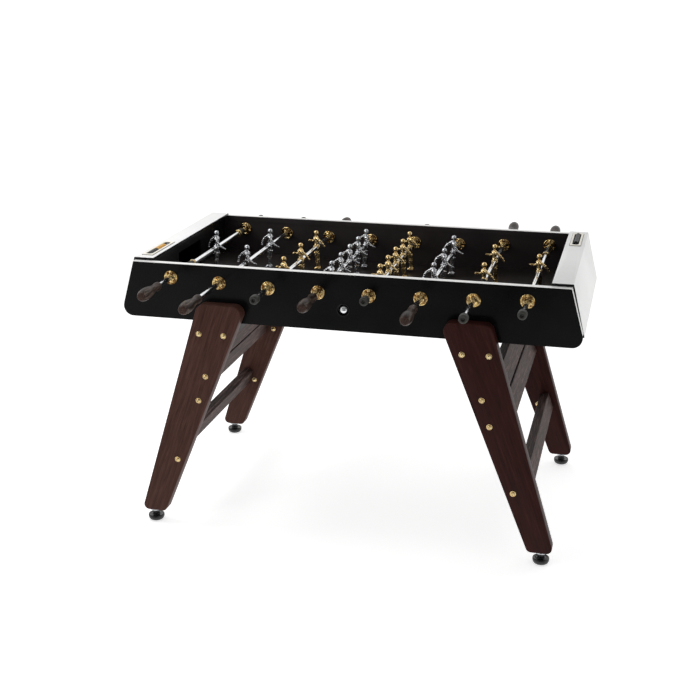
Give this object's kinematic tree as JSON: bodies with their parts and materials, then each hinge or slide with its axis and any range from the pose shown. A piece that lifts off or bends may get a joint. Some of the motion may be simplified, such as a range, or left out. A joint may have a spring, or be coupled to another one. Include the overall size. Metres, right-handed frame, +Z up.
{
  "type": "foosball table",
  "caption": "Foosball table: box body on splayed plank legs, with cross rods of figures that slide and spin, round handles, goals and score beads.",
  "frame": {"origin": "on the floor, under the centre of the table's body", "axes": "+X along the table's length, +Y across it towards the back side, +Z up"},
  "size_m": [1.488, 1.416, 0.9158],
  "materials": {
    "black_lacquer": "black gloss lacquer on board",
    "black_lacquer_wood": "black stained timber",
    "black_lacquer_metal": "black coated sheet",
    "pale_edging": "satin pale edging",
    "white_lacquer": "white satin lacquer on board",
    "field_laminate": "dark satin laminate",
    "chrome": "polished chrome",
    "chrome_ball": "polished ball",
    "gold_metal": "polished brass",
    "dark_leg_wood": "dark red-brown stained hardwood, satin",
    "grey_rail_wood": "grey-brown open-grain hardwood",
    "handle_wood": "dark turned hardwood, with rubber end caps",
    "silver_figure": "polished cast figure",
    "gold_figure": "polished gold-coloured cast figure",
    "rubber": "black moulded rubber",
    "foot_black": "black moulded foot on a steel stem",
    "white_plastic": "white moulded bezel",
    "bead_plastic": "moulded beads, some black and some gold-coloured"
  },
  "bodies": {
    "table": {"front_side_panel": "black_lacquer", "back_side_panel": "black_lacquer", "panel_top_edgings": "pale_edging", "left_end_cover": "white_lacquer", "right_end_cover": "white_lacquer", "left_goal_wall": "black_lacquer_metal", "right_goal_wall": "black_lacquer_metal", "playing_field": "field_laminate", "goal_ball_trays": "black_lacquer", "serve_ring": "black_lacquer_metal", "rod_bearings": "gold_metal", "bearing_screws": "gold_metal", "leg_front_left": "dark_leg_wood", "leg_front_right": "dark_leg_wood", "leg_back_left": "dark_leg_wood", "leg_back_right": "dark_leg_wood", "upper_leg_rails": "grey_rail_wood", "lower_leg_rails": "grey_rail_wood", "body_bearers": "black_lacquer_wood", "leg_bolts": "gold_metal", "score_bezels": "white_plastic"},
    "rod_1_carriage": {"rod_1_rubber_buffers": "rubber"},
    "rod_1": {"rod_1_bar": "chrome", "rod_1_figures": "silver_figure", "rod_1_handle_and_cap": "handle_wood"},
    "rod_2_carriage": {"rod_2_rubber_buffers": "rubber"},
    "rod_2": {"rod_2_bar": "chrome", "rod_2_figures": "silver_figure", "rod_2_handle_and_cap": "handle_wood"},
    "rod_3_carriage": {"rod_3_rubber_buffers": "rubber"},
    "rod_3": {"rod_3_bar": "chrome", "rod_3_figures": "gold_figure", "rod_3_handle_and_cap": "handle_wood"},
    "rod_4_carriage": {"rod_4_rubber_buffers": "rubber"},
    "rod_4": {"rod_4_bar": "chrome", "rod_4_figures": "silver_figure", "rod_4_handle_and_cap": "handle_wood"},
    "rod_5_carriage": {"rod_5_rubber_buffers": "rubber"},
    "rod_5": {"rod_5_bar": "chrome", "rod_5_figures": "gold_figure", "rod_5_handle_and_cap": "handle_wood"},
    "rod_6_carriage": {"rod_6_rubber_buffers": "rubber"},
    "rod_6": {"rod_6_bar": "chrome", "rod_6_figures": "silver_figure", "rod_6_handle_and_cap": "handle_wood"},
    "rod_7_carriage": {"rod_7_rubber_buffers": "rubber"},
    "rod_7": {"rod_7_bar": "chrome", "rod_7_figures": "gold_figure", "rod_7_handle_and_cap": "handle_wood"},
    "rod_8_carriage": {"rod_8_rubber_buffers": "rubber"},
    "rod_8": {"rod_8_bar": "chrome", "rod_8_figures": "gold_figure", "rod_8_handle_and_cap": "handle_wood"},
    "foot_front_left": {"foot_front_left": "foot_black"},
    "foot_front_right": {"foot_front_right": "foot_black"},
    "foot_back_left": {"foot_back_left": "foot_black"},
    "foot_back_right": {"foot_back_right": "foot_black"},
    "score_beads_left": {"score_beads_left": "bead_plastic"},
    "score_beads_right": {"score_beads_right": "bead_plastic"},
    "ball": {"ball": "chrome_ball"}
  },
  "joints": [
    {"name": "rod_1_slide", "type": "slide", "parent": "table", "child": "rod_1_carriage", "axis": [0, 1, 0], "range_m": [-0.132, 0.048]},
    {"name": "rod_1_spin", "type": "hinge", "parent": "rod_1_carriage", "child": "rod_1", "pos_m": [-0.5705, 0.042, 0.8528], "axis": [0, 1, 0], "continuous": true},
    {"name": "rod_2_slide", "type": "slide", "parent": "table", "child": "rod_2_carriage", "axis": [0, 1, 0], "range_m": [-0.172, 0.128]},
    {"name": "rod_2_spin", "type": "hinge", "parent": "rod_2_carriage", "child": "rod_2", "pos_m": [-0.4075, 0.022, 0.8444], "axis": [0, 1, 0], "continuous": true},
    {"name": "rod_3_slide", "type": "slide", "parent": "table", "child": "rod_3_carriage", "axis": [0, 1, 0], "range_m": [-0.09, 0.11]},
    {"name": "rod_3_spin", "type": "hinge", "parent": "rod_3_carriage", "child": "rod_3", "pos_m": [-0.2445, -0.01, 0.8386], "axis": [0, 1, 0], "continuous": true},
    {"name": "rod_4_slide", "type": "slide", "parent": "table", "child": "rod_4_carriage", "axis": [0, 1, 0], "range_m": [-0.083, 0.033]},
    {"name": "rod_4_spin", "type": "hinge", "parent": "rod_4_carriage", "child": "rod_4", "pos_m": [-0.0815, 0.025, 0.8359], "axis": [0, 1, 0], "continuous": true},
    {"name": "rod_5_slide", "type": "slide", "parent": "table", "child": "rod_5_carriage", "axis": [0, 1, 0], "range_m": [-0.083, 0.033]},
    {"name": "rod_5_spin", "type": "hinge", "parent": "rod_5_carriage", "child": "rod_5", "pos_m": [0.0815, 0.025, 0.8359], "axis": [0, 1, 0], "continuous": true},
    {"name": "rod_6_slide", "type": "slide", "parent": "table", "child": "rod_6_carriage", "axis": [0, 1, 0], "range_m": [-0.133, 0.067]},
    {"name": "rod_6_spin", "type": "hinge", "parent": "rod_6_carriage", "child": "rod_6", "pos_m": [0.2445, 0.033, 0.8386], "axis": [0, 1, 0], "continuous": true},
    {"name": "rod_7_slide", "type": "slide", "parent": "table", "child": "rod_7_carriage", "axis": [0, 1, 0], "range_m": [-0.128, 0.172]},
    {"name": "rod_7_spin", "type": "hinge", "parent": "rod_7_carriage", "child": "rod_7", "pos_m": [0.4075, -0.022, 0.8444], "axis": [0, 1, 0], "continuous": true},
    {"name": "rod_8_slide", "type": "slide", "parent": "table", "child": "rod_8_carriage", "axis": [0, 1, 0], "range_m": [-0.06, 0.12]},
    {"name": "rod_8_spin", "type": "hinge", "parent": "rod_8_carriage", "child": "rod_8", "pos_m": [0.5705, -0.03, 0.8528], "axis": [0, 1, 0], "continuous": true},
    {"name": "foot_front_left_level", "type": "slide", "parent": "table", "child": "foot_front_left", "axis": [0, 0, -1], "range_m": [0, 0.012]},
    {"name": "foot_front_right_level", "type": "slide", "parent": "table", "child": "foot_front_right", "axis": [0, 0, -1], "range_m": [0, 0.012]},
    {"name": "foot_back_left_level", "type": "slide", "parent": "table", "child": "foot_back_left", "axis": [0, 0, -1], "range_m": [0, 0.012]},
    {"name": "foot_back_right_level", "type": "slide", "parent": "table", "child": "foot_back_right", "axis": [0, 0, -1], "range_m": [0, 0.012]},
    {"name": "score_left_slide", "type": "slide", "parent": "table", "child": "score_beads_left", "axis": [0, 1, 0], "range_m": [0, 0.035]},
    {"name": "score_right_slide", "type": "slide", "parent": "table", "child": "score_beads_right", "axis": [0, 1, 0], "range_m": [-0.035, 0]},
    {"name": "ball_serve", "type": "slide", "parent": "table", "child": "ball", "axis": [0, 1, 0], "range_m": [0, 0.045]}
  ]
}
